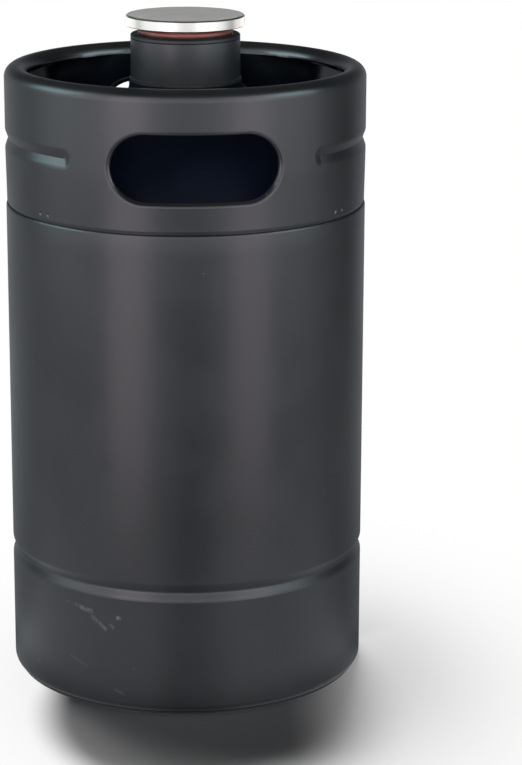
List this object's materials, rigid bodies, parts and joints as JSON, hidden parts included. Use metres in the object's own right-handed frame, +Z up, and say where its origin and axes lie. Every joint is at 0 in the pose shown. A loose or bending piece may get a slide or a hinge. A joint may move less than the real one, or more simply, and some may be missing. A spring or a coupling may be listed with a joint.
{
  "type": "mini keg",
  "caption": "Double-walled steel mini keg with a handle collar, two hand holes, a threaded neck and a screw cap with a seal.",
  "frame": {"origin": "on the floor under the middle of the keg, at the foot's rest face", "axes": "+Z up along the keg's axis, -Y to the front hand hole, +X to the right seen from the front"},
  "size_m": [0.162, 0.162, 0.3017],
  "materials": {
    "powder_coat": "matte black powder coat with a fine grain on stainless steel sheet",
    "bare_steel": "bare drawn stainless steel",
    "cap_steel": "satin turned top with a polished edge",
    "cap_plastic": "moulded black polypropylene",
    "silicone": "red-brown food-grade silicone",
    "foam": "white expanded foam",
    "foil": "bright copper-coloured radiation foil",
    "getter_metal": "grey sintered metal",
    "solder_glass": "dark solder glass"
  },
  "bodies": {
    "keg": {"outer_wall": "powder_coat", "outer_shoulder": "powder_coat", "collar": "powder_coat", "neck_sleeve": "powder_coat", "neck_weld_ring": "powder_coat", "threaded_ferrule": "powder_coat", "inner_shoulder": "bare_steel", "inner_wall": "bare_steel", "inner_bottom": "bare_steel", "foil_wrap": "foil", "base_plate": "powder_coat", "vacuum_seal_bead": "solder_glass", "seal_cover": "powder_coat", "getter_pill": "getter_metal", "getter_bracket": "bare_steel"},
    "seal": {"cap_seal": "silicone"},
    "cap": {"cap_cover": "cap_steel", "cap_plug": "cap_plastic", "cap_foam_core": "foam"}
  },
  "joints": [
    {"name": "cap_lift", "type": "slide", "parent": "keg", "child": "seal", "axis": [0, 0, 1], "range_m": [0, 0.009]},
    {"name": "cap_turn", "type": "hinge", "parent": "seal", "child": "cap", "pos_m": [0, 0, 0.29], "axis": [0, 0, 1], "range_deg": [0, 1080]}
  ],
  "couplings": [
    {"joint": "cap_lift", "follows": "cap_turn", "m_per_rad": 0.00047746}
  ]
}
